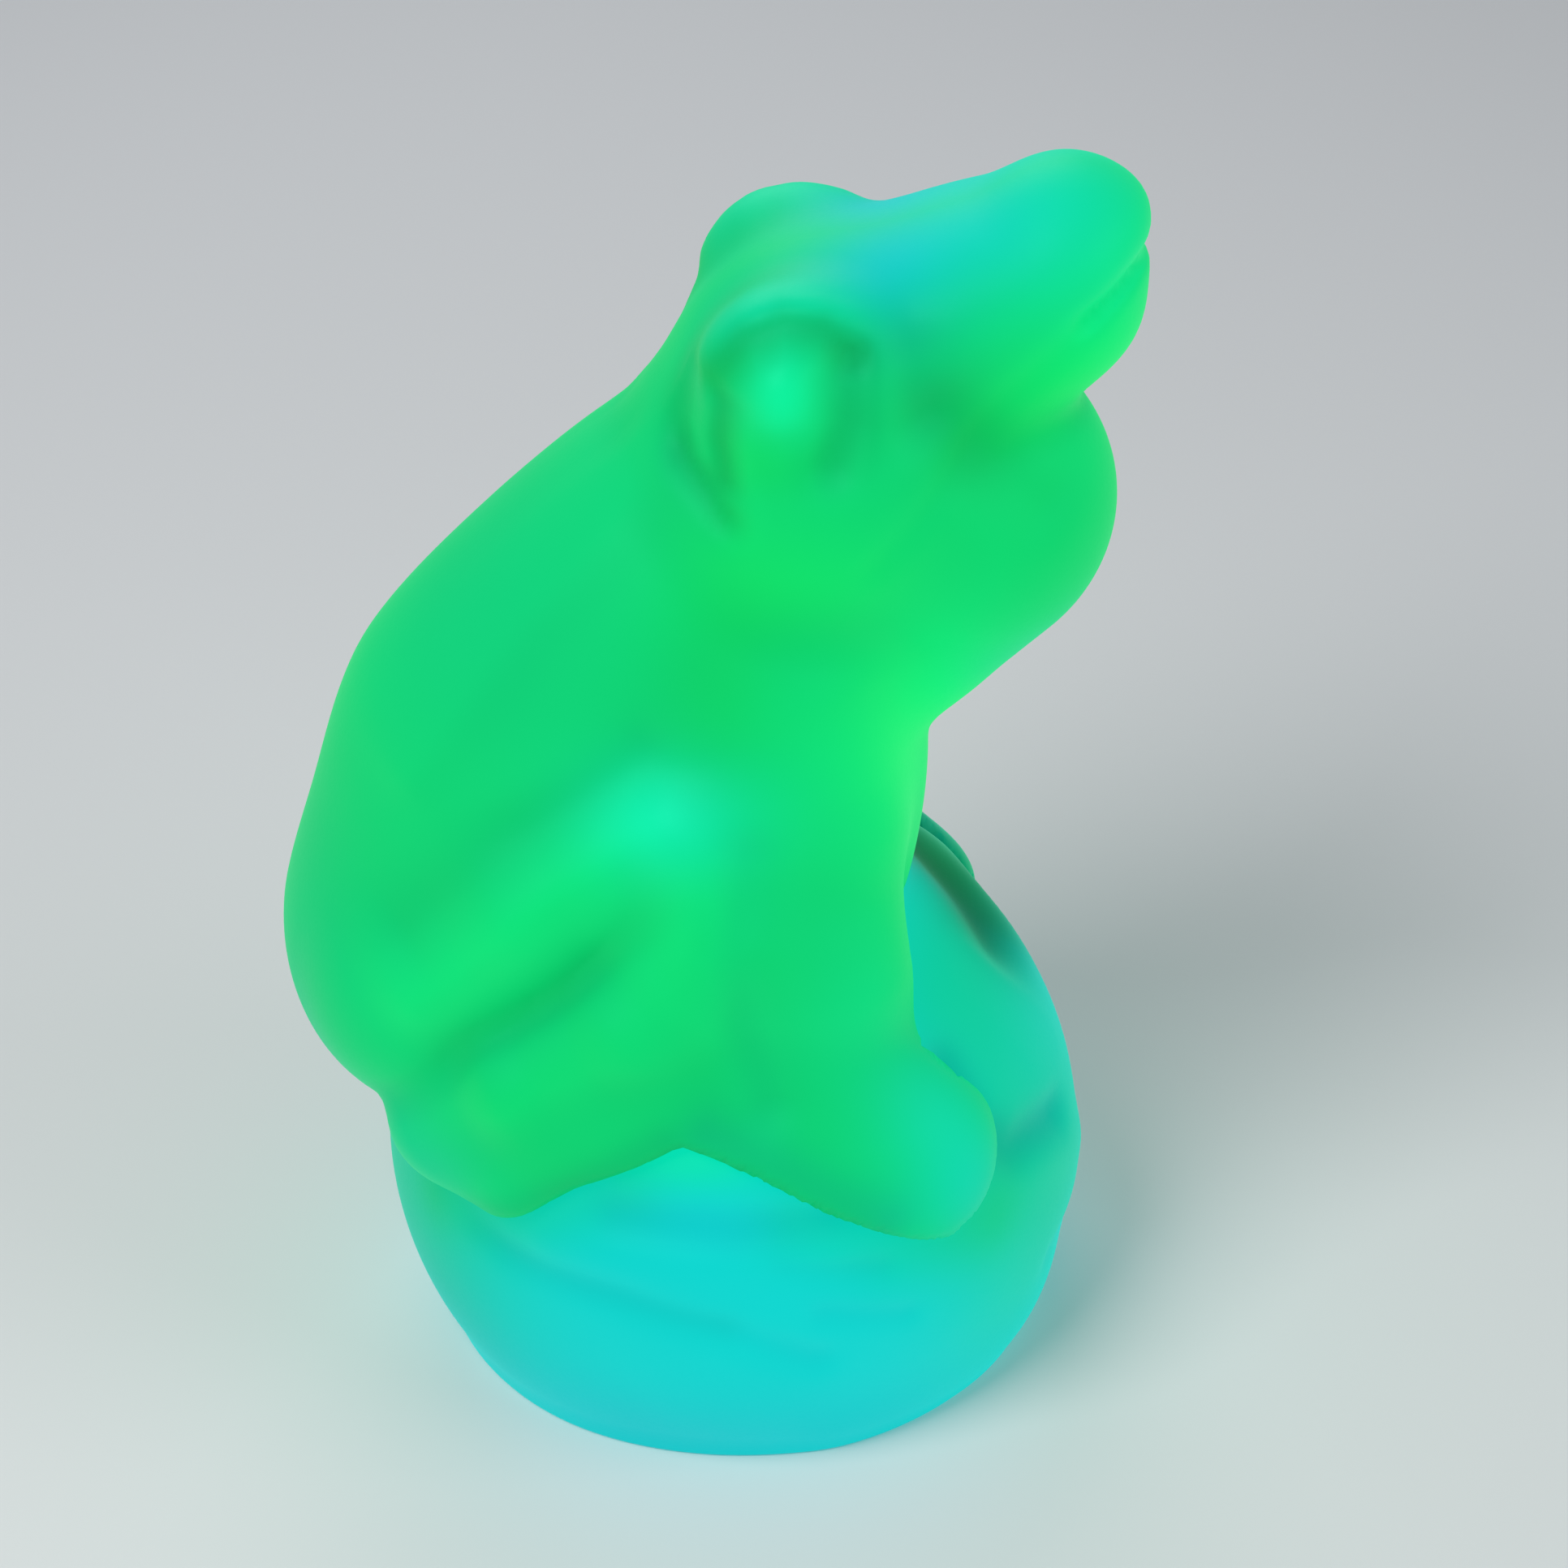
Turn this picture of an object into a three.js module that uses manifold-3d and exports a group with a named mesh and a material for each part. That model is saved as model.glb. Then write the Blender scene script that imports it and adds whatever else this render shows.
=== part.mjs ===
// A small covered dish in pressed satin glass: a round bowl, and a lid in the shape of a seated frog.
// Millimetres, +Z up. The origin is the centre of the bowl's flat foot, and the frog looks along +X.

import * as THREE from "three";
import { mergeVertices } from "three/addons/utils/BufferGeometryUtils.js";
import Module from "manifold-3d";

const wasm = await Module();
wasm.setup();

// Driving dimensions
const bowlRadius = 32;
const bowlCentreHeight = 17.5;
const wallThickness = 4;
const floorThickness = 5;
const footRadius = 27.4;
const footEdge = 1.2;
const rimHeight = 45.6;
const mouthRadius = 13;
const seatGap = 0.3;
const plugClearance = 0.4;
const plugBottomHeight = 40;
const plugTopHeight = 52;
const plugEdge = 1;
const arcSteps = 12;
const bowlSides = 40;

const ellipsoidSides = 18;
const ellipsoidRings = 11;
const limbSides = 10;
const limbCapSteps = 3;
const weldDistance = 1e-4;
const seatSides = 32;
const seatRings = 24;

const glass = { roughness: 0.42, metalness: 0, transparent: false };
const frogMaterial = new THREE.MeshStandardMaterial({ color: 0x09d97e, ...glass });
const bowlMaterial = new THREE.MeshStandardMaterial({ color: 0x04cfc4, ...glass });

// Frog: the masses on the middle plane, as centre, half-sizes and pitch in degrees (snout up is positive)
const middleMasses = {
  rump: { at: [-24.4, 0, 38.8], half: [16.2, 19, 14.8] },
  belly: { at: [-11.8, 0, 45], half: [27.9, 22, 19] },
  trunk: { at: [-10.4, 0, 59.5], half: [24, 19.5, 21], pitch: 14 },
  shoulders: { at: [-3.6, 0, 75.4], half: [22.4, 17, 15.5], pitch: 45 },
  chest: { at: [4.5, 0, 63], half: [13.2, 14.5, 22] },
  throat: { at: [17, 0, 81.8], half: [16.5, 15, 15.6] },
  nape: { at: [5, 0, 91], half: [14, 15.5, 11], pitch: 50 },
  skull: { at: [12, 0, 97.5], half: [17, 15.5, 8.6], pitch: 26 },
  upperJaw: { at: [22.6, 0, 104], half: [15.2, 11.2, 6.8], pitch: 30 },
  lowerJaw: { at: [20.6, 0, 95.6], half: [18.2, 12, 7.5], pitch: 36 },
  chin: { at: [25.5, 0, 97], half: [8.6, 9, 8] },
};

// Frog: the paired masses, given for the left side and repeated on the right
const pairedMasses = {
  eye: { at: [6.6, 11, 98.8], half: [7.2, 5.6, 7.2] },
  knee: { at: [-3, 17.5, 60], half: [8.6, 7.4, 8.2] },
  web: { at: [1, 18.8, 44.5], half: [10, 6, 10] },
  cheek: { at: [9, 8, 87], half: [12, 9.8, 10] },
};

// Frog: the paired limbs, as both ends and the radius at each
const pairedLimbs = {
  thigh: { from: [-26, 12, 40.5], to: [-3, 17, 60], radii: [9.5, 8] },
  shin: { from: [-2, 18.5, 57], to: [-9, 20.5, 42], radii: [7.4, 6.6] },
  ankle: { from: [-9, 20.5, 42], to: [-25, 17.5, 31], radii: [6.6, 5] },
  foot: { from: [-24, 19, 29], to: [-6, 24, 37], radii: [4.2, 3.4] },
  arm: { from: [5.5, 11.5, 68], to: [9.5, 18, 42], radii: [8, 6] },
  palm: { from: [9, 18.4, 45], to: [14, 21, 38], radii: [6.4, 5.6] },
  fingers: { from: [14, 21, 38], to: [20, 20.6, 30], radii: [5.6, 4.2] },
  outerFinger: { from: [8, 20.6, 41.5], to: [15.5, 25, 28.6], radii: [5.2, 3.6] },
};

// Turns a closed geometry into a solid that can be joined and cut
function solidOf(geometry) {
  const bare = geometry.clone();
  bare.deleteAttribute("normal");
  bare.deleteAttribute("uv");
  const merged = mergeVertices(bare, weldDistance);
  const solid = new wasm.Mesh({
    numProp: 3,
    vertProperties: new Float32Array(merged.attributes.position.array),
    triVerts: new Uint32Array(merged.index.array),
  });
  return new wasm.Manifold(solid);
}

// Turns a solid back into a geometry for a mesh
function geometryOf(solid) {
  const mesh = solid.getMesh();
  const geometry = new THREE.BufferGeometry();
  geometry.setAttribute("position", new THREE.BufferAttribute(new Float32Array(mesh.vertProperties), 3));
  geometry.setIndex(new THREE.BufferAttribute(new Uint32Array(mesh.triVerts), 1));
  geometry.computeVertexNormals();
  return geometry;
}

// A profile of [radius, height] pairs turned around the Z axis
function turned(profile, sides) {
  const points = profile.map(([radius, height]) => new THREE.Vector2(radius, height));
  return new THREE.LatheGeometry(points, sides).rotateX(Math.PI / 2);
}

// Points [radius, height] on a circle about a centre on the axis, from one height to another
function arcByHeight(radius, centreHeight, fromHeight, toHeight, steps) {
  const from = Math.asin((fromHeight - centreHeight) / radius);
  const to = Math.asin((toHeight - centreHeight) / radius);
  return Array.from({ length: steps + 1 }, (_, i) => {
    const angle = from + ((to - from) * i) / steps;
    return [radius * Math.cos(angle), centreHeight + radius * Math.sin(angle)];
  });
}

function ellipsoid({ at, half, pitch = 0 }, side = 1) {
  const geometry = new THREE.SphereGeometry(1, ellipsoidSides, ellipsoidRings);
  geometry.rotateX(Math.PI / 2);
  geometry.scale(...half);
  geometry.rotateY(-THREE.MathUtils.degToRad(pitch));
  geometry.translate(at[0], at[1] * side, at[2]);
  return solidOf(geometry);
}

// A round-ended limb that tapers from one radius to the other
function limb({ from, to, radii }, side) {
  const start = new THREE.Vector3(from[0], from[1] * side, from[2]);
  const end = new THREE.Vector3(to[0], to[1] * side, to[2]);
  const length = start.distanceTo(end);
  const lean = Math.asin((radii[0] - radii[1]) / length);
  const cap = (radius, height, a, b) =>
    Array.from({ length: limbCapSteps + 1 }, (_, i) => {
      const angle = a + ((b - a) * i) / limbCapSteps;
      return [Math.max(radius * Math.cos(angle), 0), height + radius * Math.sin(angle)];
    });
  const profile = [
    ...cap(radii[0], 0, -Math.PI / 2, lean),
    ...cap(radii[1], length, lean, Math.PI / 2),
  ];
  profile[0][0] = 0;
  profile[profile.length - 1][0] = 0;
  const geometry = turned(profile, limbSides);
  const along = end.clone().sub(start).normalize();
  geometry.applyQuaternion(new THREE.Quaternion().setFromUnitVectors(new THREE.Vector3(0, 0, 1), along));
  geometry.translate(start.x, start.y, start.z);
  return solidOf(geometry);
}

function makeFrogLid() {
  const masses = Object.values(middleMasses).map((mass) => ellipsoid(mass));
  for (const side of [1, -1]) {
    masses.push(...Object.values(pairedMasses).map((mass) => ellipsoid(mass, side)));
    masses.push(...Object.values(pairedLimbs).map((shape) => limb(shape, side)));
  }
  const figure = masses.reduce((joined, mass) => joined.add(mass));

  const seat = new THREE.SphereGeometry(bowlRadius + seatGap, seatSides, seatRings);
  seat.rotateX(Math.PI / 2).translate(0, 0, bowlCentreHeight);

  const plugRadius = mouthRadius - plugClearance;
  const plug = turned(
    [
      [0, plugBottomHeight],
      [plugRadius - plugEdge, plugBottomHeight],
      [plugRadius, plugBottomHeight + plugEdge],
      [plugRadius, plugTopHeight],
      [0, plugTopHeight],
    ],
    bowlSides,
  );
  return geometryOf(figure.subtract(solidOf(seat)).add(solidOf(plug)));
}

function makeDishBowl() {
  const innerRadius = bowlRadius - wallThickness;
  const innerMouthHeight = bowlCentreHeight + Math.sqrt(innerRadius ** 2 - mouthRadius ** 2);
  const outside = arcByHeight(bowlRadius, bowlCentreHeight, 2 * footEdge, rimHeight, arcSteps);
  const inside = arcByHeight(innerRadius, bowlCentreHeight, innerMouthHeight, floorThickness, arcSteps);
  const profile = [
    [0, 0],
    [footRadius - footEdge / 2, 0],
    [footRadius, footEdge / 2],
    ...outside,
    [mouthRadius, rimHeight],
    ...inside,
    [0, floorThickness],
  ];
  return geometryOf(solidOf(turned(profile, bowlSides)));
}

const object = new THREE.Group();

const dishBowl = new THREE.Mesh(makeDishBowl(), bowlMaterial);
dishBowl.name = "dish_bowl";
object.add(dishBowl);

const frogLid = new THREE.Mesh(makeFrogLid(), frogMaterial);
frogLid.name = "frog_lid";
object.add(frogLid);

export default object;
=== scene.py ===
import math

import bpy
import numpy as np
from mathutils import Matrix, Vector


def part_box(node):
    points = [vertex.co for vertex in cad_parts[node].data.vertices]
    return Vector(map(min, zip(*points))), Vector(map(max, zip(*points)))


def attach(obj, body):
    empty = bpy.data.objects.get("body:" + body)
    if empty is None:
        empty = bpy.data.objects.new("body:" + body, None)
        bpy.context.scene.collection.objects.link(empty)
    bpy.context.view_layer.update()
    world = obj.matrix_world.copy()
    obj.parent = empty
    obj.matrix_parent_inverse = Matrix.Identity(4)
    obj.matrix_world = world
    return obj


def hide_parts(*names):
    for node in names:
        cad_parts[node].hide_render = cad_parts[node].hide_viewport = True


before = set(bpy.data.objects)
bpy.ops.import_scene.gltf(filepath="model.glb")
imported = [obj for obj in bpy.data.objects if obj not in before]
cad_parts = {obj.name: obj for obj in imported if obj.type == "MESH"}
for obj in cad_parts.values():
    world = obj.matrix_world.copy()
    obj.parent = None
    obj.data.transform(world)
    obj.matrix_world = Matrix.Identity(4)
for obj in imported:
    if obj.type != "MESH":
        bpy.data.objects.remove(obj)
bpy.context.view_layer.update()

mm = 0.001

print("frame loaded")


def onlySelect(*objects):
    if bpy.context.object and bpy.context.object.mode != "OBJECT":
        bpy.ops.object.mode_set(mode="OBJECT")
    bpy.ops.object.select_all(action="DESELECT")
    for item in objects:
        item.select_set(True)
    bpy.context.view_layer.objects.active = objects[0]


def applyModifier(piece, kind, **settings):
    modifier = piece.modifiers.new(kind.lower(), kind)
    for name, value in settings.items():
        setattr(modifier, name, value)
    onlySelect(piece)
    bpy.ops.object.modifier_apply(modifier=modifier.name)


def readPoints(piece):  # the mesh's points, in millimetres
    flat = np.empty(len(piece.data.vertices) * 3)
    piece.data.vertices.foreach_get("co", flat)
    return flat.reshape(-1, 3) / mm


def writePoints(piece, points):
    piece.data.vertices.foreach_set("co", (points * mm).ravel())
    piece.data.update()


def readNormals(piece):
    flat = np.empty(len(piece.data.vertices) * 3)
    piece.data.vertices.foreach_get("normal", flat)
    return flat.reshape(-1, 3)


# Soft forms: each gives how far the points lie outside a shape, in millimetres
def softJoin(a, b, reach):
    overlap = np.clip(reach - np.abs(a - b), 0, None)
    return np.minimum(a, b) - overlap ** 2 / (4 * reach)


def softTrim(a, b, reach):  # keeps only what both forms hold
    return -softJoin(-a, -b, reach)


def mirrored(points, side=1):  # folds both sides of the object onto one
    folded = points.copy()
    folded[:, 1] = side * np.abs(points[:, 1])
    return folded


def eggDistance(points, at, half, pitch):
    ahead, aside, up = (points - np.array(at)).T
    cos, sin = math.cos(math.radians(pitch)), math.sin(math.radians(pitch))
    local = np.stack([ahead * cos + up * sin, aside, up * cos - ahead * sin], 1)
    size = np.array(half, float)
    near = np.linalg.norm(local / size, axis=1)
    slope = np.linalg.norm(local / size ** 2, axis=1) + 1e-9
    return near * (near - 1) / slope


def pathDistance(points, path, radii=None, reach=1.0):
    nearest = None
    path = [np.array(p, float) for p in path]
    radii = radii or [0] * len(path)
    for a, b, ra, rb in zip(path, path[1:], radii, radii[1:]):
        along = b - a
        share = np.clip((points - a) @ along / (along @ along), 0, 1)
        away = np.linalg.norm(points - a - share[:, None] * along, axis=1) - ra - (rb - ra) * share
        nearest = away if nearest is None else softJoin(nearest, away, reach)
    return nearest


def lineFade(points, path, width, flat=None):  # 1 on the line, fading to 0 over the width
    path = [np.array(p, float) for p in path]
    if flat is not None:  # the line is seen along one axis, and runs right through the form
        points = np.delete(points, flat, 1)
        path = [np.delete(p, flat) for p in path]
    away = None
    for a, b in zip(path, path[1:]):
        along = b - a
        share = np.clip((points - a) @ along / (along @ along), 0, 1)
        step = np.linalg.norm(points - a - share[:, None] * along, axis=1)
        away = step if away is None else np.minimum(away, step)
    return np.exp(-(away / width) ** 2)


def spotFade(points, at, width):  # 1 at the place, fading to 0 over the width on each axis
    return np.exp(-np.sum(((points - np.array(at)) / np.array(width)) ** 2, 1))


view = {"place": (5.0, -322.1, 257.6), "elevation": 32.33, "roll": -1.04, "lens": 99.6, "nearest": 10}


def makeCamera():
    bpy.ops.object.camera_add()
    camera = bpy.context.object
    camera.name = "camera"
    camera.data.lens = view["lens"]
    camera.data.clip_start = view["nearest"] * mm
    turn = Matrix.Rotation(math.radians(90 - view["elevation"]), 4, "X")
    roll = Matrix.Rotation(math.radians(view["roll"]), 4, "Z")
    camera.matrix_world = Matrix.Translation(Vector(view["place"]) * mm) @ turn @ roll
    bpy.context.scene.camera = camera


light = {
    "key": {"place": (-200, -240, 420), "size": 260, "power": 1.5, "colour": (1.0, 0.99, 0.97)},
    "fill": {"place": (380, -180, 260), "size": 320, "power": 0.5, "colour": (0.95, 0.98, 1.0)},
    "back": {"place": (-60, 360, 330), "size": 300, "power": 0.35, "colour": (0.94, 0.97, 1.0)},
    "sky": (0.88, 0.92, 0.97),
    "skyPower": 0.3,
    "aim": (0, 0, 50),
}


def makeLights():
    for name in ("key", "fill", "back"):
        lamp = light[name]
        bpy.ops.object.light_add(type="AREA", location=Vector(lamp["place"]) * mm)
        area = bpy.context.object
        area.name = name + "_light"
        area.data.shape = "DISK"
        area.data.size = lamp["size"] * mm
        area.data.energy = lamp["power"]
        area.data.color = lamp["colour"]
        aim = (Vector(light["aim"]) - Vector(lamp["place"])) * mm
        area.rotation_euler = aim.to_track_quat("-Z", "Y").to_euler()
    world = bpy.data.worlds.new("sky")
    world.use_nodes = True
    sky = world.node_tree.nodes["Background"]
    sky.inputs["Color"].default_value = (*light["sky"], 1)
    sky.inputs["Strength"].default_value = light["skyPower"]
    bpy.context.scene.world = world
    bpy.context.scene.view_settings.view_transform = "Standard"


floor = {"size": 6000, "colour": (0.74, 0.75, 0.76), "roughness": 0.7}


def makeFloor():
    bpy.ops.mesh.primitive_plane_add(size=floor["size"] * mm)
    sheet = bpy.context.object
    sheet.name = "floor"
    coat = bpy.data.materials.new("pale_floor")
    coat.use_nodes = True
    shader = coat.node_tree.nodes["Principled BSDF"]
    shader.inputs["Base Color"].default_value = (*floor["colour"], 1)
    shader.inputs["Roughness"].default_value = floor["roughness"]
    sheet.data.materials.append(coat)


makeCamera()
makeLights()
makeFloor()
print("camera, lights and floor made")


bowlLow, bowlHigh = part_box("dish_bowl")
bowl = {
    "radius": (bowlHigh[0] - bowlLow[0]) / 2 / mm - 0.05,  # just inside the solid that it stands for
    "centre": 17.5,
    "rim": bowlHigh[2] / mm,
    "wall": 4,
    "floor": 5,
    "foot": 27.4,
    "footEdge": 1.2,
    "mouth": 13,
    "lip": 0.7,
    "lipShoulder": ((0.55, 0.1), (0.95, 0)),  # inwards and down, as shares of the lip
    "footRings": (0.1, 0.4, 0.7, 0.9),  # as shares of the foot
    "coveTop": 3,
    "cove": ((1.2, 1.4), (3.2, 0.4), (5.5, 0)),  # inwards from the wall, and above the floor
    "floorRings": (8, 2.5),
    "sides": 224,
    "step": 0.85,
}


def arc(radius, centreAcross, centreUp, fromAngle, toAngle, step):
    count = max(2, round(abs(math.radians(toAngle - fromAngle)) * radius / step))
    angles = [math.radians(fromAngle + (toAngle - fromAngle) * i / count) for i in range(count + 1)]
    return [(centreAcross + radius * math.cos(a), centreUp + radius * math.sin(a)) for a in angles]


def heightAngle(radius, height):  # where a circle about the bowl's centre reaches a height
    return math.degrees(math.asin((height - bowl["centre"]) / radius))


def bowlProfile():
    radius, centre, rim, step = bowl["radius"], bowl["centre"], bowl["rim"], bowl["step"]
    inner, lip, edge = radius - bowl["wall"], bowl["lip"], bowl["footEdge"]
    outer = arc(radius, 0, centre, heightAngle(radius, 2 * edge), heightAngle(radius, rim - lip), step)
    shoulder = [(outer[-1][0] - inwards * lip, rim - down * lip) for inwards, down in bowl["lipShoulder"]]
    neck = math.degrees(math.acos(bowl["mouth"] / inner))
    inside = arc(inner, 0, centre, neck, heightAngle(inner, bowl["floor"] + bowl["coveTop"]), step)
    cove = [(inside[-1][0] - inwards, bowl["floor"] + up) for inwards, up in bowl["cove"]]
    return [
        *[(bowl["foot"] * share, 0) for share in bowl["footRings"]],
        *arc(edge / 2, bowl["foot"] - edge / 2, edge / 2, -90, 0, edge / 5),
        *outer,
        *shoulder,
        *arc(lip, bowl["mouth"] + lip, rim - lip, 90, 180, lip / 4),
        *inside,
        *cove,
        *[(across, bowl["floor"]) for across in bowl["floorRings"]],
    ]


def makeBowl():
    profile = bowlProfile()
    bpy.ops.mesh.primitive_circle_add(vertices=bowl["sides"], radius=profile[0][0] * mm, fill_type="NGON")
    piece = bpy.context.object
    piece.name = "bowl_glass"
    onlySelect(piece)
    bpy.ops.object.mode_set(mode="EDIT")
    bpy.ops.mesh.select_all(action="SELECT")
    bpy.ops.mesh.poke()
    bpy.ops.mesh.select_mode(type="EDGE")
    bpy.ops.mesh.select_all(action="DESELECT")
    bpy.ops.mesh.select_non_manifold()
    for (acrossA, upA), (acrossB, upB) in zip(profile, profile[1:]):
        bpy.ops.mesh.extrude_region_move(TRANSFORM_OT_translate={"value": (0, 0, (upB - upA) * mm)})
        share = acrossB / acrossA
        bpy.ops.transform.resize(value=(share, share, 1), center_override=(0, 0, upB * mm))
    bpy.ops.mesh.edge_face_add()
    bpy.ops.mesh.poke()
    bpy.ops.mesh.select_all(action="SELECT")
    bpy.ops.mesh.normals_make_consistent(inside=False)
    bpy.ops.object.mode_set(mode="OBJECT")
    bpy.ops.object.shade_smooth()
    return piece


# Soft relief on the boulder-like outside: path, width and how far it rises
relief = {
    "sides": {
        "hollowUnderKnee": ([(-10, -28.5, 28), (0, -30.5, 27.5), (8, -29, 28.0)], 2.4, -1.0),
        "longCrease": (
            [(-24, -17, 24), (-19.8, -24.6, 21.6), (-10, -30, 21), (-1, -31.5, 18.5), (7, -31, 14)],
            1.6, -0.55,
        ),
        "upperCrease": ([(4, -31, 24.2), (13, -28.8, 22.3)], 1.1, -0.45),
        "lowerCrease": ([(7.6, -31, 19), (15, -28, 16.6)], 1.1, -0.4),
        "besideHand": (
            [(19.0, -18.5, 36), (21.6, -20.4, 30.4), (25.4, -18.2, 27.2), (29.5, -11, 25.4)],
            2.0, -1.3,
        ),
        "ridge": ([(-16, -26, 24), (-3.7, -30.8, 24.5), (8, -29.5, 25)], 2.2, 0.4),
        "swellUnderKnee": ([(-8, -27, 33), (-2, -27.5, 33), (6, -28.5, 30)], 2.4, 0.5),
        "underHand": ([(28, -16, 24), (31, -6, 19)], 2.4, 0.3),
        "footSwell": ([(10, -27, 1), (20, -21, 2), (26, -12, 3), (28, 0, 3)], 5.0, 0.7),
    },
    "front": {
        "fold": ([(15.5, 9, 43.6), (19.5, 4, 42.4), (24, -2, 38.6)], 3.4, -1.3),
        "dent": ([(25, 11, 34), (28.5, 7.5, 29.5), (31, 4.5, 24.5), (31.6, 2.5, 21)], 4.4, -2.1),
        "lowHollow": ([(29.5, -12, 10), (31, -6, 9)], 2.4, -0.5),
        "betweenHands": ([(21, -9, 39.5), (28, -8, 31)], 2.8, 0.5),
    },
    "swell": {"height": 0.14, "ahead": 0.21, "up": 0.13, "aside": 0.17, "shift": 0.6},
    "underLid": {"slope": 0.5, "margin": 0.2, "frontFrom": 21, "frontSlope": 0.3},
    "flatTo": 0.6,
    "flatBlend": 2,
    "skin": 1.5,
}


def bowlRise(points):  # how far the outside rises from a plain ball
    middle = np.array([0, 0, bowl["centre"]])
    outward = points - middle
    onBall = middle + outward * (bowl["radius"] / np.linalg.norm(outward, axis=1))[:, None]
    oneSide = mirrored(onBall, -1)
    rise = sum(height * lineFade(onBall, path, width) for path, width, height in relief["front"].values())
    rise += sum(height * lineFade(oneSide, path, width) for path, width, height in relief["sides"].values())
    ahead, aside, up = points.T
    swell = relief["swell"]
    wave = np.sin(swell["ahead"] * ahead + swell["up"] * up)
    wave *= np.sin(swell["aside"] * aside + swell["shift"])
    rise += swell["height"] * (wave - 1)
    lid = relief["underLid"]
    clear = hemDistance(onBall) * lid["slope"]
    clear += np.clip(onBall[:, 0] - lid["frontFrom"], 0, None) * lid["frontSlope"]
    rise = np.minimum(rise, np.clip(clear - lid["margin"], 0, None))  # nothing stands up under the frog
    room = bowl["radius"] - np.linalg.norm(points[:, :2], axis=1)  # keeps the ball within its own width
    return np.minimum(rise, np.maximum(room, 0))


def carveBowl(piece):
    points = readPoints(piece)
    outward = points - np.array([0, 0, bowl["centre"]])
    away = np.linalg.norm(outward, axis=1)
    outward /= away[:, None]
    # The foot stays flat
    outward[:, 2] *= np.clip((points[:, 2] - relief["flatTo"]) / relief["flatBlend"], 0, 1)
    outside = np.clip(away - bowl["radius"] + relief["skin"], 0, 1)
    writePoints(piece, points + outward * (bowlRise(points) * outside)[:, None])


# Masses from the rump to the snout: centre, half-sizes, pitch (snout up) and how softly each joins.
# Limbs have a path and radii, and pads a path, width and thickness. The hem is where the skirt ends,
# as seen from the side.
frog = {
    "middle": {
        "rump": ((-24.3, 0, 38.4), (15.1, 17.5, 15.2), 0, 6),
        "belly": ((-11.8, 0, 45), (25.9, 20, 18.4), 0, 6),
        "trunk": ((-10.8, 0, 59.5), (23.7, 18.5, 20.5), 14, 8),
        "shoulders": ((-4.2, 0, 75.0), (20.9, 16.5, 14.6), 45, 8),
        "chest": ((3.9, 0, 60), (13.2, 14.5, 21), 0, 8),
        "throat": ((17.6, 0, 82.5), (15.9, 14.6, 14.9), 0, 7),
        "gullet": ((16.6, 0, 70.2), (7.8, 9, 6.2), 35, 5),
        "nape": ((6.7, 0, 89.6), (13.2, 14.5, 10.2), 50, 6),
        "skull": ((12, 0, 97.8), (17, 13.5, 7.9), 26, 6),
        "crown": ((7.6, 0, 98.6), (8.6, 12.0, 6.6), 20, 5),
        "upperJaw": ((22.6, 0, 103.0), (14.0, 10.4, 6.2), 27, 4),
        "snoutTip": ((28.5, 0, 107.0), (5.6, 7.0, 5.4), 20, 3),
        "lowerJaw": ((20.2, 0, 95.4), (17.4, 10.8, 7.5), 36, 3.0),
        "chin": ((26.4, 0, 99.8), (8.0, 7.6, 5.6), 0, 4),
    },
    "paired": {
        "cheek": ((9, 8, 87), (12, 9.2, 9.6), 30, 5),
        "brow": ((6.3, 9.8, 98.7), (7.5, 5.6, 7.4), 12, 4),
        "eyeball": ((5.5, 13.0, 99.2), (3.3, 3.8, 4.1), -10, 0.9),
        "web": ((2, 18.2, 43.5), (11.5, 7.4, 12.5), 0, 5),
    },
    "limbs": {
        "thigh": ([(-26.5, 11.5, 40.5), (-16, 14.6, 51.6), (-2, 15.6, 60)], [8.8, 7.9, 7.2], 4),
        "shin": (
            [(-1, 17.6, 59), (-0.6, 20.0, 52), (-8, 22.0, 44), (-18, 20.8, 37.2), (-25.5, 16.4, 30.5)],
            [6.9, 6.3, 5.6, 5.0, 4.5], 2.5,
        ),
        "arm": ([(4.0, 10.5, 69), (7.2, 13.8, 57), (8.8, 17.2, 46)], [8.4, 7.2, 6.4], 6),
    },
    "pads": {  # hands and feet lie flat on the bowl
        "skirt": ([(-8, 25.5, 36.5), (0, 26.5, 34.5), (8, 27, 31), (14.5, 25.8, 28.5)], 6.0, 2.1, 5),
        "hand": ([(7.5, 21.6, 40.4), (18, 21.9, 31)], 5.6, 2.0, 5),
        "foot": ([(-25.5, 15.5, 29.5), (-19, 22, 30), (-8, 23, 38)], 5.4, 3.2, 3),
    },
    "hem": [
        (-40, 8), (-31, 18), (-24.5, 22.8), (-18.4, 26.2), (-14.1, 29.2), (-9.9, 32.2), (-4.4, 35.4),
        (-0.3, 34.0), (3.8, 32.0), (7.9, 29.4), (12.9, 26.5), (18, 24.0), (28, 18),
    ],
    "hemSlope": 0.86,
    "hemSoftness": 0.9,
    "hemReach": 4,  # above the bowl, beyond which the hem doesn't cut
    "hemFall": 2,
    "limbBend": 1.5,
    "padBend": 0.5,
    "limbSpacing": 2.5,
    "padSpacing": 3,
    "roughGrain": 1.0,
    "grain": 0.58,
    "rounds": 4,
    "seatGap": 0.12,
    "plug": 12.6,
    "plugFrom": 40,
    "plugTo": 52,
    "plugEdge": 1,
    "plugSides": 96,
}

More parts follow.
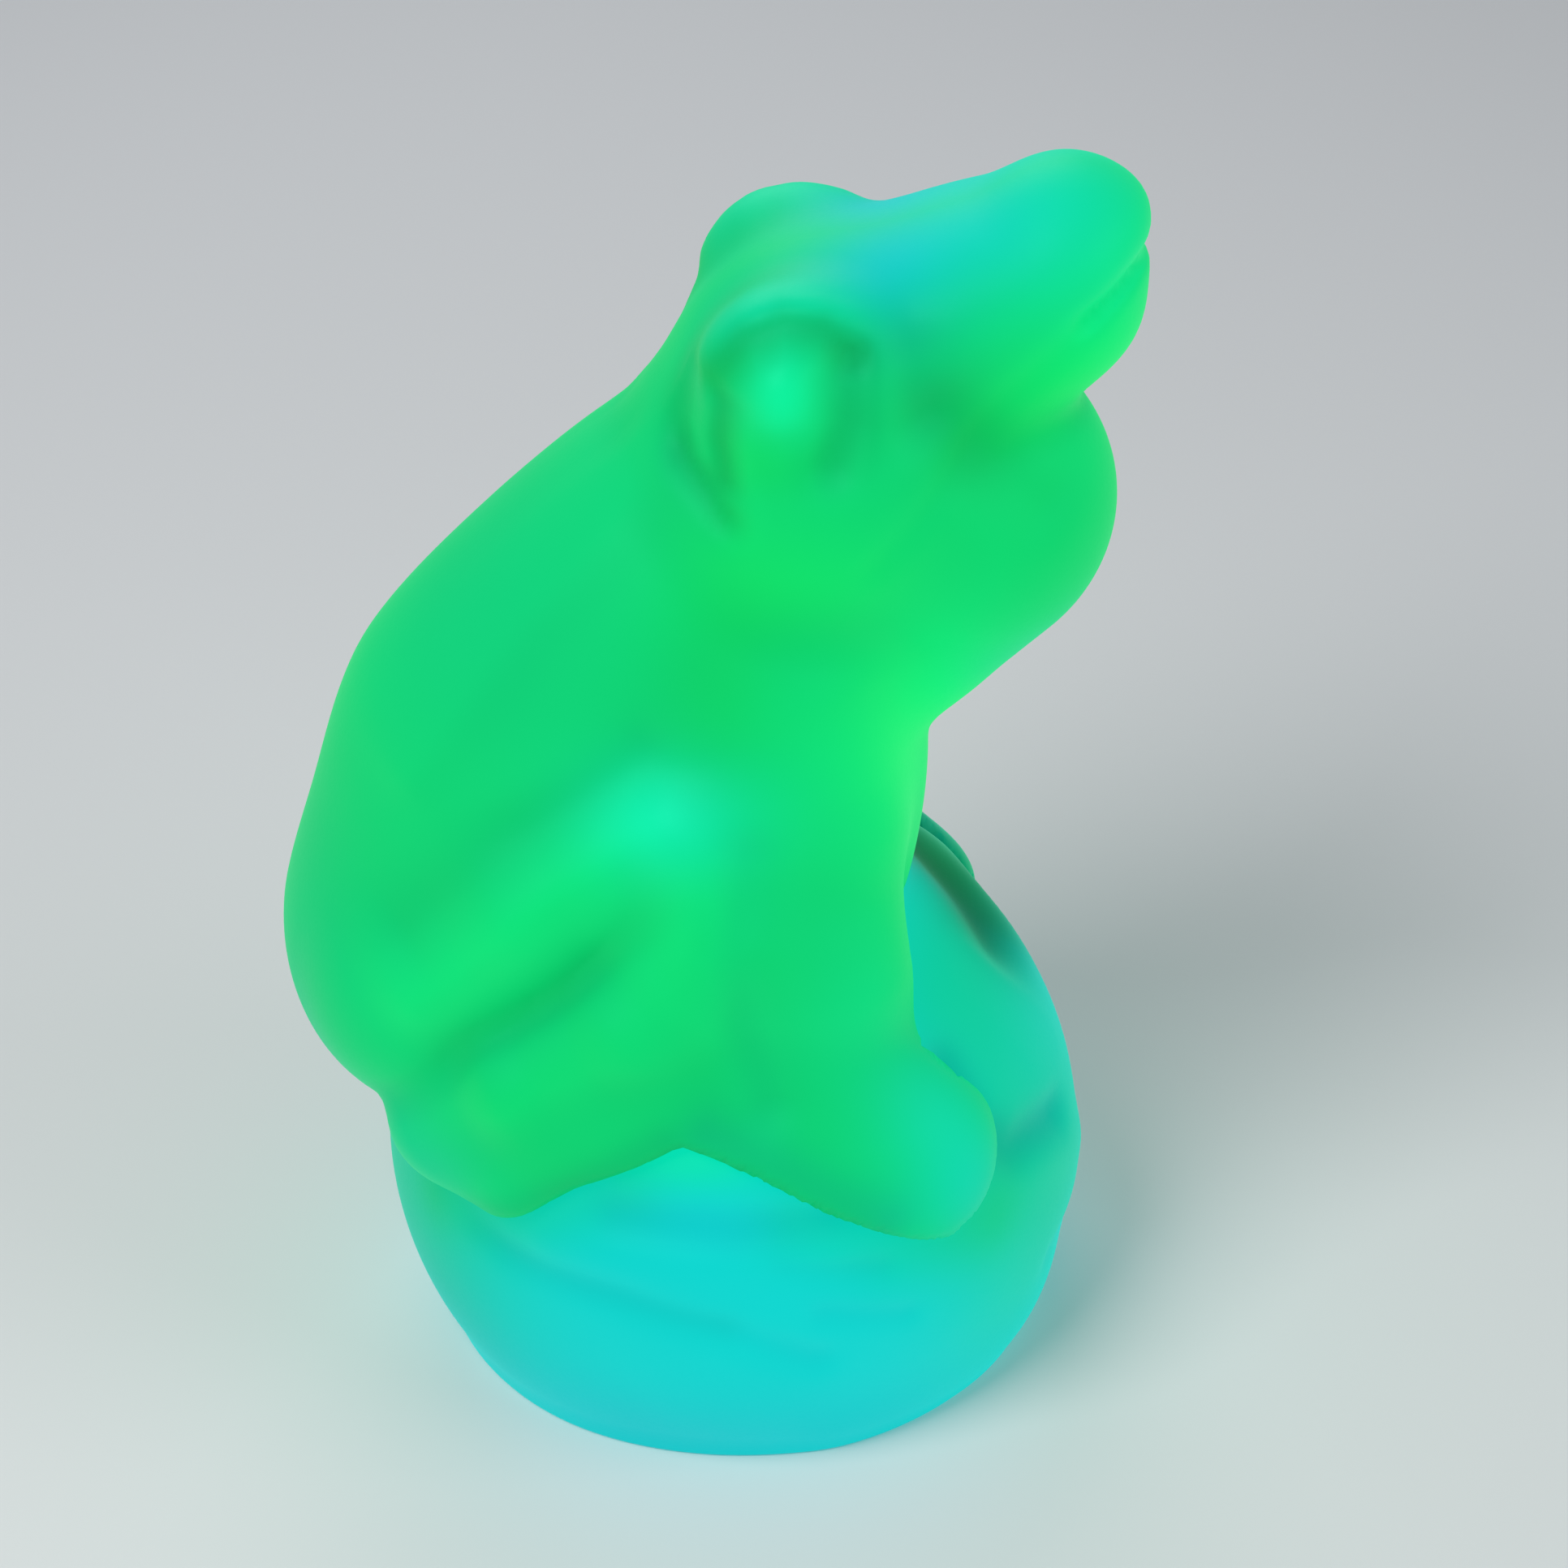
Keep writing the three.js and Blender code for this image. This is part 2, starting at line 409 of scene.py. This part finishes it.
# Lines pressed into the form or raised from it, as seen from the side: path of (x, z), width, rise, and
# how far from the middle the line begins. From there it comes in over lineFadeIn.
sideLines = {
    "mouthFront": ([(37.5, 106.6), (34, 105.2), (30, 102.4)], 0.9, -0.8, 0),
    "mouth": ([(30, 102.4), (23.1, 96.6), (18.2, 90.6), (12.5, 84.8)], 1.4, -0.22, 3),
    "upperLip": ([(31, 105.6), (23.1, 99.8), (18.2, 94.6), (12.8, 90.5)], 2.0, 0.12, 3),
    "lid": ([(-0.2, 100.0), (2.6, 103.2), (5.6, 104.4), (8.6, 104.0), (11.2, 102.2)], 1.3, -0.7, 10),
    "browRidge": ([(0.5, 105.0), (5, 107.4), (11, 105.6)], 1.8, 0.35, 10),
    "frontOfEye": ([(10.6, 100.6), (10.4, 97.2), (9.2, 93.8)], 2.0, -1.1, 9),
    "behindEye": ([(0.8, 98.2), (0.5, 94.6), (0.9, 91.4)], 1.3, -0.7, 9),
    "behindHead": ([(-2.6, 98.6), (-3.2, 94.4), (-2.4, 91.8), (0.6, 88.6)], 1.6, -0.9, 6),
    "lore": ([(16.2, 101.4), (16.6, 96.8)], 2.4, -0.7, 7),
    "jawHollow": ([(19.4, 95.8), (21.6, 91.4), (26, 87)], 2.8, -0.6, 5),
    "thighTop": ([(-27, 45.4), (-18.5, 54.8), (-6, 64.2)], 3.0, 0.6, 3),
    "aboveThigh": ([(-26.5, 50.5), (-17.4, 60), (-7, 68.8)], 2.8, -0.6, 3),
    "thighHollow": ([(-23, 40.6), (-17, 45.2), (-12.2, 49.8)], 4.0, -0.6, 3),
    "legValley": ([(1.6, 61), (0.4, 54), (1.2, 46), (3.2, 39)], 2.4, -0.8, 3),
    "backRidge": ([(-5.7, 90.0), (-16.4, 78.6), (-27, 64)], 2.6, 0.35, 3),
}
lineFadeIn = 2.5


def ballDistance(points):
    return np.linalg.norm(points - np.array([0, 0, bowl["centre"]]), axis=1) - bowl["radius"]


def padDistance(points, path, width, thickness):  # a long flat pad on the outside of the bowl
    middle = np.array([0, 0, bowl["centre"]])
    rise = ballDistance(points)
    onBall = middle + (points - middle) * (bowl["radius"] / (rise + bowl["radius"]))[:, None]
    aside = pathDistance(onBall, path, reach=frog["padBend"])
    near = np.hypot(aside / width, rise / thickness)
    slope = np.hypot(aside / width ** 2, rise / thickness ** 2) + 1e-9
    return near * (near - 1) / slope


def hemDistance(points):  # how far a point lies below the line where the skirt of the frog ends
    across, up = zip(*frog["hem"])
    below = (np.interp(points[:, 0], across, up) - points[:, 2]) * frog["hemSlope"]
    return below - np.clip(ballDistance(points) - frog["hemReach"], 0, None) * frog["hemFall"]


def frogDistance(points):
    pairs = mirrored(points)
    form = None
    for at, half, pitch, reach in frog["middle"].values():
        mass = eggDistance(points, at, half, pitch)
        form = mass if form is None else softJoin(form, mass, reach)
    for path, radii, reach in frog["limbs"].values():
        form = softJoin(form, pathDistance(pairs, path, radii, frog["limbBend"]), reach)
    for at, half, pitch, reach in frog["paired"].values():
        form = softJoin(form, eggDistance(pairs, at, half, pitch), reach)
    for path, width, thickness, reach in frog["pads"].values():
        form = softJoin(form, padDistance(pairs, path, width, thickness), reach)
    return softTrim(form, hemDistance(pairs), frog["hemSoftness"])


def lineRise(points):
    rise = np.zeros(len(points))
    for path, width, height, begin in sideLines.values():
        outer = np.clip((np.abs(points[:, 1]) - begin) / lineFadeIn + (begin == 0), 0, 1)
        rise += height * outer * lineFade(points, [(x, 0, z) for x, z in path], width, flat=1)
    return rise


def sculpted(points):
    return frogDistance(points) - lineRise(points)


def slopeOf(form, points, step=0.05):
    here = form(points)
    slope = np.stack([form(points + np.eye(3)[k] * step) - here for k in range(3)], 1) / step
    return here, slope


def settle(points, form, longest=2, leastSlope=0.2):  # moves the points onto the form's surface
    for _ in range(frog["rounds"]):
        here, slope = slopeOf(form, points)
        steepness = np.maximum(np.sum(slope ** 2, 1), leastSlope)
        points = points - (np.clip(here, -longest, longest) / steepness)[:, None] * slope
    return points


def addEgg(at, half, pitch=0):
    bpy.ops.mesh.primitive_ico_sphere_add(
        subdivisions=3, radius=1, location=Vector(at) * mm, rotation=(0, -math.radians(pitch), 0),
        scale=[size * mm for size in half],
    )
    return bpy.context.object


def stepsAlong(path, values, spacing):  # places along a path, with the values mixed between its ends
    for a, b, valueA, valueB in zip(path, path[1:], values, values[1:]):
        count = max(2, round(math.dist(a, b) / spacing))
        for i in range(count + 1):
            share = i / count
            yield [p + (q - p) * share for p, q in zip(a, b)], valueA + (valueB - valueA) * share


def roughFrog():  # every mass as a primitive, joined to one piece
    parts = [addEgg(at, half, pitch) for at, half, pitch, reach in frog["middle"].values()]
    for side in (1, -1):
        for at, half, pitch, reach in frog["paired"].values():
            parts.append(addEgg((at[0], at[1] * side, at[2]), half, pitch))
        for path, radii, reach in frog["limbs"].values():
            for at, radius in stepsAlong(path, radii, frog["limbSpacing"]):
                parts.append(addEgg((at[0], at[1] * side, at[2]), (radius, radius, radius)))
        for path, width, thickness, reach in frog["pads"].values():
            for at, radius in stepsAlong(path, [width] * len(path), frog["padSpacing"]):
                outward = Vector((at[0], at[1], at[2] - bowl["centre"])).normalized()
                sunk = Vector(at) - outward * (radius - thickness)  # only its top stands out of the bowl
                parts.append(addEgg((sunk.x, sunk.y * side, sunk.z), (radius, radius, radius)))
    onlySelect(*parts)
    bpy.ops.object.join()
    piece = bpy.context.object
    bpy.ops.object.transform_apply(location=True, rotation=True, scale=True)
    piece.name = "frog_glass"
    return piece


def remesh(piece, size):
    applyModifier(piece, "REMESH", mode="VOXEL", voxel_size=size * mm, adaptivity=0)


def makeFrog():
    piece = roughFrog()
    remesh(piece, frog["roughGrain"])
    writePoints(piece, settle(readPoints(piece), frogDistance))
    remesh(piece, frog["grain"])
    writePoints(piece, settle(readPoints(piece), sculpted))
    print("frog sculpted", len(piece.data.vertices))
    seatFrog(piece)
    onlySelect(piece)
    bpy.ops.object.shade_smooth()
    return piece


def combine(piece, tool, operation):
    applyModifier(piece, "BOOLEAN", operation=operation, object=tool, solver="MANIFOLD")
    bpy.data.objects.remove(tool)


def seatFrog(piece):  # cuts the hollow that sits on the bowl, and adds the plug that fills its mouth
    bpy.ops.mesh.primitive_uv_sphere_add(
        segments=128, ring_count=64, radius=(bowl["radius"] + frog["seatGap"]) * mm,
        location=(0, 0, bowl["centre"] * mm),
    )
    combine(piece, bpy.context.object, "DIFFERENCE")
    low, high = frog["plugFrom"] * mm, frog["plugTo"] * mm
    bpy.ops.mesh.primitive_cylinder_add(
        vertices=frog["plugSides"], radius=frog["plug"] * mm, depth=high - low,
        location=(0, 0, (low + high) / 2),
    )
    plug = bpy.context.object
    applyModifier(plug, "BEVEL", width=frog["plugEdge"] * mm, segments=4, limit_method="ANGLE")
    combine(piece, plug, "UNION")


bowlGlass = makeBowl()
carveBowl(bowlGlass)
print("bowl made", len(bowlGlass.data.vertices))
frogGlass = makeFrog()
print("frog made", len(frogGlass.data.vertices))


class Value:  # a socket that can be added to, taken from and multiplied
    def __init__(self, tree, socket):
        self.tree, self.socket = tree, socket

    def combine(self, other, operation):
        node = self.tree.nodes.new("ShaderNodeMath")
        node.operation = operation
        for slot, item in zip(node.inputs, (self, other)):
            if isinstance(item, Value):
                self.tree.links.new(item.socket, slot)
            else:
                slot.default_value = item
        return Value(self.tree, node.outputs[0])

    def __add__(self, other):
        return self.combine(other, "ADD")

    def __sub__(self, other):
        return self.combine(other, "SUBTRACT")

    def __mul__(self, other):
        return self.combine(other, "MULTIPLY")


class Shader:
    def __init__(self, name):
        self.material = bpy.data.materials.new(name)
        self.material.use_nodes = True
        self.tree = self.material.node_tree
        self.surface = self.tree.nodes["Principled BSDF"]

    def node(self, kind, settings=None, output=0, **inputs):
        node = self.tree.nodes.new("ShaderNode" + kind)
        for name, value in (settings or {}).items():
            setattr(node, name, value)
        for name, value in inputs.items():
            self.feed(node.inputs[name.replace("_", " ")], value)
        return Value(self.tree, node.outputs[output])

    def feed(self, socket, value):
        if isinstance(value, Value):
            self.tree.links.new(value.socket, socket)
        else:
            socket.default_value = value


glass = {
    "body": (0.004, 0.05, 0.03, 1),
    "roughness": 0.46,
    "roughnessSwing": 0.1,
    "ior": 1.5,
    "specular": 0.2,
    "sheen": (0.12, 1.0, 0.8, 1),
    "glow": 1.0,
    "cloud": {"Scale": 34, "Detail": 2.0, "Roughness": 0.5},
    "cloudSwing": 0.09,
    "satin": {"Scale": 2600, "Detail": 3.0, "Roughness": 0.6},
    "satinDepth": 0.02,
    "wave": {"Scale": 90, "Detail": 1.0, "Roughness": 0.4},
    "waveDepth": 0.25,
    "bump": {"Distance": 0.001, "Strength": 0.5},
}


def makeGlass(name):
    shader = Shader(name)
    place = shader.node("TexCoord", output=3)  # object coordinates
    cloud = shader.node("TexNoise", Vector=place, **glass["cloud"])
    satin = shader.node("TexNoise", Vector=place, **glass["satin"])
    wave = shader.node("TexNoise", Vector=place, **glass["wave"])
    # The glow attribute is painted light: the glass is lit from within as emission, with its painted
    # highlights and painted shade
    glow = shader.node("Attribute", {"attribute_name": "glow"})
    strength = (cloud - 0.5) * glass["cloudSwing"] + 1
    height = satin * glass["satinDepth"] + wave * glass["waveDepth"]
    surface = {
        "Base Color": glass["body"],
        "Roughness": satin * glass["roughnessSwing"] + glass["roughness"],
        "IOR": glass["ior"],
        "Specular IOR Level": glass["specular"],
        "Specular Tint": glass["sheen"],
        "Emission Color": shader.node("VectorMath", {"operation": "SCALE"}, Vector=glow, Scale=strength),
        "Emission Strength": glass["glow"],
        "Normal": shader.node("Bump", Height=height, **glass["bump"]),
    }
    for slot, value in surface.items():
        shader.feed(shader.surface.inputs[slot], value)
    return shader.material


def toLight(colours):  # from display values, 0 to 255, to linear light
    share = np.clip(colours, 0, 255) / 255
    return np.where(share < 0.04045, share / 12.92, ((share + 0.055) / 1.055) ** 2.4)


def glassDistance(points):  # from the frog and the bowl together
    return np.minimum(sculpted(points), ballDistance(points))


# Used for the painted shade in creases and under parts
def shelter(points, normals):  # how much of the sky near a point is open, from 0 to 1
    closed = np.zeros(len(points))
    for reach, weight in ((0.8, 0.3), (1.8, 0.3), (4.0, 0.25), (8.0, 0.15)):
        closed += weight * np.clip(1 - glassDistance(points + normals * reach) / reach, 0, 1)
    return np.clip(1 - closed, 0, 1)


def tint(colours, share, change):  # change in green and in blue
    colours[:, 1:] += share[:, None] * np.array(change)


def tintSpots(colours, points, spots, spread=1):
    for at, width, *change in spots.values():
        tint(colours, spotFade(points, at, np.array(width) * spread), change)


def paint(piece, colours):
    layer = piece.data.color_attributes.new("glow", "FLOAT_COLOR", "POINT")
    rows = np.concatenate([toLight(colours), np.ones((len(colours), 1))], 1)
    layer.data.foreach_set("color", rows.ravel())


# Where the frog's glow is painted lighter or darker than its body, as painted light and shade: place on one
# side, width, and change in green and in blue
frogGlow = {
    "body": (2, 205, 104),
    # Painted highlights and a bluish painted reflection where parts face the light, and painted shade in
    # hollows, creases and under parts
    "spots": {
        "headTop": ((14, 5, 105), (6, 6, 5), -8, 66),
        "snoutTop": ((25, 4, 109), (8, 7, 6), 6, 62),
        "brow": ((4, 11, 106), (6, 4, 3.4), 12, 34),
        "backOfHead": ((-1, 8, 103), (4, 8, 5), -8, 10),
        "eyeball": ((5.4, 16.4, 100.0), (2.5, 2.6, 3.1), 26, 40),
        "underEye": ((4, 15, 94), (3.5, 4, 2.5), 4, -10),
        "jawFront": ((32, 4, 101), (5, 6, 7), 22, 8),
        "jawSide": ((26, 8, 98), (6, 5, 5), 14, -8),
        "lore": ((16.5, 11, 98.5), (3.8, 4, 5), -20, -12),
        "jawShade": ((20.5, 11, 93), (3.4, 4, 3.6), -10, -12),
        "throatSide": ((25, 10, 87), (5, 6, 8), -2, -6),
        "throatLow": ((26, 3, 71), (7, 9, 5), -8, 26),
        "neck": ((15, 8, 69), (8, 9, 8), 36, 8),
        "chest": ((15, 8, 58), (5, 9, 9), 16, 6),
        "cheekLow": ((6, 16, 84), (8, 5, 5), 12, -8),
        "shoulderShade": ((0, 18, 75), (4, 6, 7), -2, -12),
        "back": ((-20, 8, 76), (12, 12, 12), -6, 4),
        "lowBack": ((-38, 6, 50), (6, 14, 14), -8, 4),
        "knee": ((-5, 22, 64), (7, 6, 4.4), 14, 50),
        "arm": ((4, 18, 60), (4, 5, 8), 8, 6),
        "underKnee": ((-3, 24, 55), (4, 5, 6), 6, 2),
        "rump": ((-36, 6, 32), (8, 12, 9), -20, 16),
        "heel": ((-25, 19, 28), (6, 6, 5), -6, 28),
        "hand": ((20, 25, 28), (6, 6, 6), 2, 58),
        "palm": ((16, 23, 36), (5, 5, 5), 4, 30),
        "wrist": ((10, 22, 45), (6, 5, 6), 6, 16),
    },
    # Painted shade along the creases around the eye and head, above and under the thigh, in the leg valley
    # and along the hem where the frog meets the bowl; painted highlight along the top of the thigh and the
    # shin
    "strokes": {  # as seen from the side: path of (x, z), width, and change in green and in blue
        "lidArc": ([(-0.2, 100.0), (2.6, 103.2), (5.6, 104.4), (8.6, 104.0), (11.2, 102.2)], 1.4, -20, -30),
        "frontOfEye": ([(10.6, 100.4), (10.6, 97.2), (9.2, 93.8)], 2.2, -18, -10),
        "behindEye": ([(0.8, 98.2), (0.5, 94.6), (0.9, 91.4)], 1.2, -18, -16),
        "behindHead": ([(-2.6, 98.6), (-3.2, 94.4), (-2.4, 91.8), (0.6, 88.6)], 1.5, -20, -16),
        "aboveThigh": ([(-26.5, 50.5), (-17.4, 60), (-7, 68.8)], 2.6, -8, -4),
        "recess": ([(-23, 40.6), (-17, 45.2), (-12.2, 49.8)], 3.6, -7, -4),
        "thighTop": ([(-27, 45.0), (-18.5, 54.0), (-7, 63.4)], 3.8, 12, 6),
        "shin": ([(-2.2, 57), (-7.3, 49.4), (-13.6, 42.9), (-20.9, 37.3)], 3.0, 4, 0),
        "legValley": ([(1.6, 61), (0.4, 54), (1.2, 46), (3.2, 39)], 2.4, -6, 0),
        "hemLeft": ([(-22, 25.6), (-14.1, 30.8), (-6.0, 36)], 1.8, -14, -2),
        "hemRight": ([(-2.0, 36.4), (3.8, 34), (12.9, 28.4)], 2.6, -16, 6),
    },
    # Painted shade: the far hand and far arm painted darker
    "farSideShade": {
        "farHand": ((19, 16, 38), (9, 6, 9), -84, -40),
        "farArm": ((15, 12, 54), (4, 5, 8), -70, -26),
    },
    "spotSpread": 1.2,
    "strokeFrom": 3,  # distance from the middle where the strokes begin, and how fast they come in
    "strokeFadeIn": 5,
    # Painted reflection: bluer on parts that face up
    "upReflectionBlue": 14,
    # Painted shade where the glass around a point closes off the sky
    "creaseShade": (-46, -26),
    "openAir": 0.93,
}


def frogColours(points, normals):
    colours = np.tile(np.array(frogGlow["body"], float), (len(points), 1))
    # painted shade in creases and under parts
    tint(colours, frogGlow["openAir"] - shelter(points, normals), frogGlow["creaseShade"])
    # painted reflection, bluer where the surface faces up
    tint(colours, np.clip(normals[:, 2], 0, 1) ** 2, (0, frogGlow["upReflectionBlue"]))
    pairs = mirrored(points)
    tintSpots(colours, pairs, frogGlow["spots"], frogGlow["spotSpread"])
    # painted shade on the far hand and arm
    tintSpots(colours, points, frogGlow["farSideShade"])
    outer = np.clip((pairs[:, 1] - frogGlow["strokeFrom"]) / frogGlow["strokeFadeIn"], 0, 1)
    for path, width, *change in frogGlow["strokes"].values():
        tint(colours, outer * lineFade(pairs, [(x, 0, z) for x, z in path], width, flat=1), change)
    return colours


bowlGlow = {
    "body": (3, 207, 203),
    # Painted shade: darker and less blue towards the bottom, the edges and the front; lighter green at the
    # apex under the frog
    "spots": {
        "low": ((-4, -26, 2), (26, 16, 8), -18, -8),
        "leftEdge": ((-31, -10, 22), (11, 30, 14), -18, -60),
        "leftLow": ((-26, -16, 9), (10, 24, 8), -14, -14),
        "rightEdge": ((30, -8, 20), (7, 12, 14), -10, -34),
        "right": ((25, -19, 20), (9, 10, 16), -6, -30),
        "apex": ((-3, -27, 33.5), (7, 5, 2.6), 16, -26),
        "front": ((18, -9, 38), (10, 13, 10), -8, -50),
        "besideHand": ((20, -21, 26), (8, 8, 7), -4, -22),
    },
    # Painted shade along the creases and along the hem, where the frog meets the bowl
    "strokes": {
        "hemLeft": ([(-26, -17, 23), (-19, -24, 26), (-10, -27, 31)], 4.0, -4, -28),
        "hemRight": ([(6, -29, 28), (14, -27.5, 24), (22, -22, 22)], 4.0, -2, -22),
        "frontCrease": (
            [(19.0, -18.5, 36), (21.6, -20.4, 30.4), (25.4, -18.2, 27.2), (29.5, -11, 25.4)],
            2.4, -20, -8,
        ),
        "longCrease": ([(-22, -21, 21.5), (-10, -30, 20.5), (-1, -31.5, 18.5)], 1.6, -5, -6),
    },
    # Painted shade: a dark band in the fold beside the frog's far hand
    "fold": ([(13, 11.5, 43.6), (17.4, 7, 43), (22.4, 1, 39.6)], 6.2, -90, -100),
    # Painted shade in the carved hollows, darker the deeper they are
    "hollow": (-10, -5),  # for each millimetre of depth
    "hollowFrom": 0.2,
    "hollowTo": 3.5,  # deeper than this is the inside
}


def bowlColours(points):
    colours = np.tile(np.array(bowlGlow["body"], float), (len(points), 1))
    rise = ballDistance(points)
    outside = np.clip(rise + bowlGlow["hollowTo"], 0, 1)
    # painted shade in the hollows
    tint(colours, np.clip(-rise - bowlGlow["hollowFrom"], 0, 3) * outside, bowlGlow["hollow"])
    # painted shade in the fold
    path, width, *change = bowlGlow["fold"]
    tint(colours, lineFade(points, path, width), change)
    oneSide = mirrored(points, -1)
    # painted shade towards the bottom and edges of the bowl
    tintSpots(colours, oneSide, bowlGlow["spots"])
    # painted shade along the creases and the hem
    for path, width, *change in bowlGlow["strokes"].values():
        tint(colours, lineFade(oneSide, path, width), change)
    return colours


paint(frogGlass, frogColours(readPoints(frogGlass), readNormals(frogGlass)))
paint(bowlGlass, bowlColours(readPoints(bowlGlass)))
print("glow painted")

bowlGlass.data.materials.clear()
bowlGlass.data.materials.append(makeGlass("bowl_satin_glass"))
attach(bowlGlass, "bowl")
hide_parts("dish_bowl")

frogGlass.data.materials.clear()
frogGlass.data.materials.append(makeGlass("frog_satin_glass"))
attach(frogGlass, "lid")
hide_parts("frog_lid")
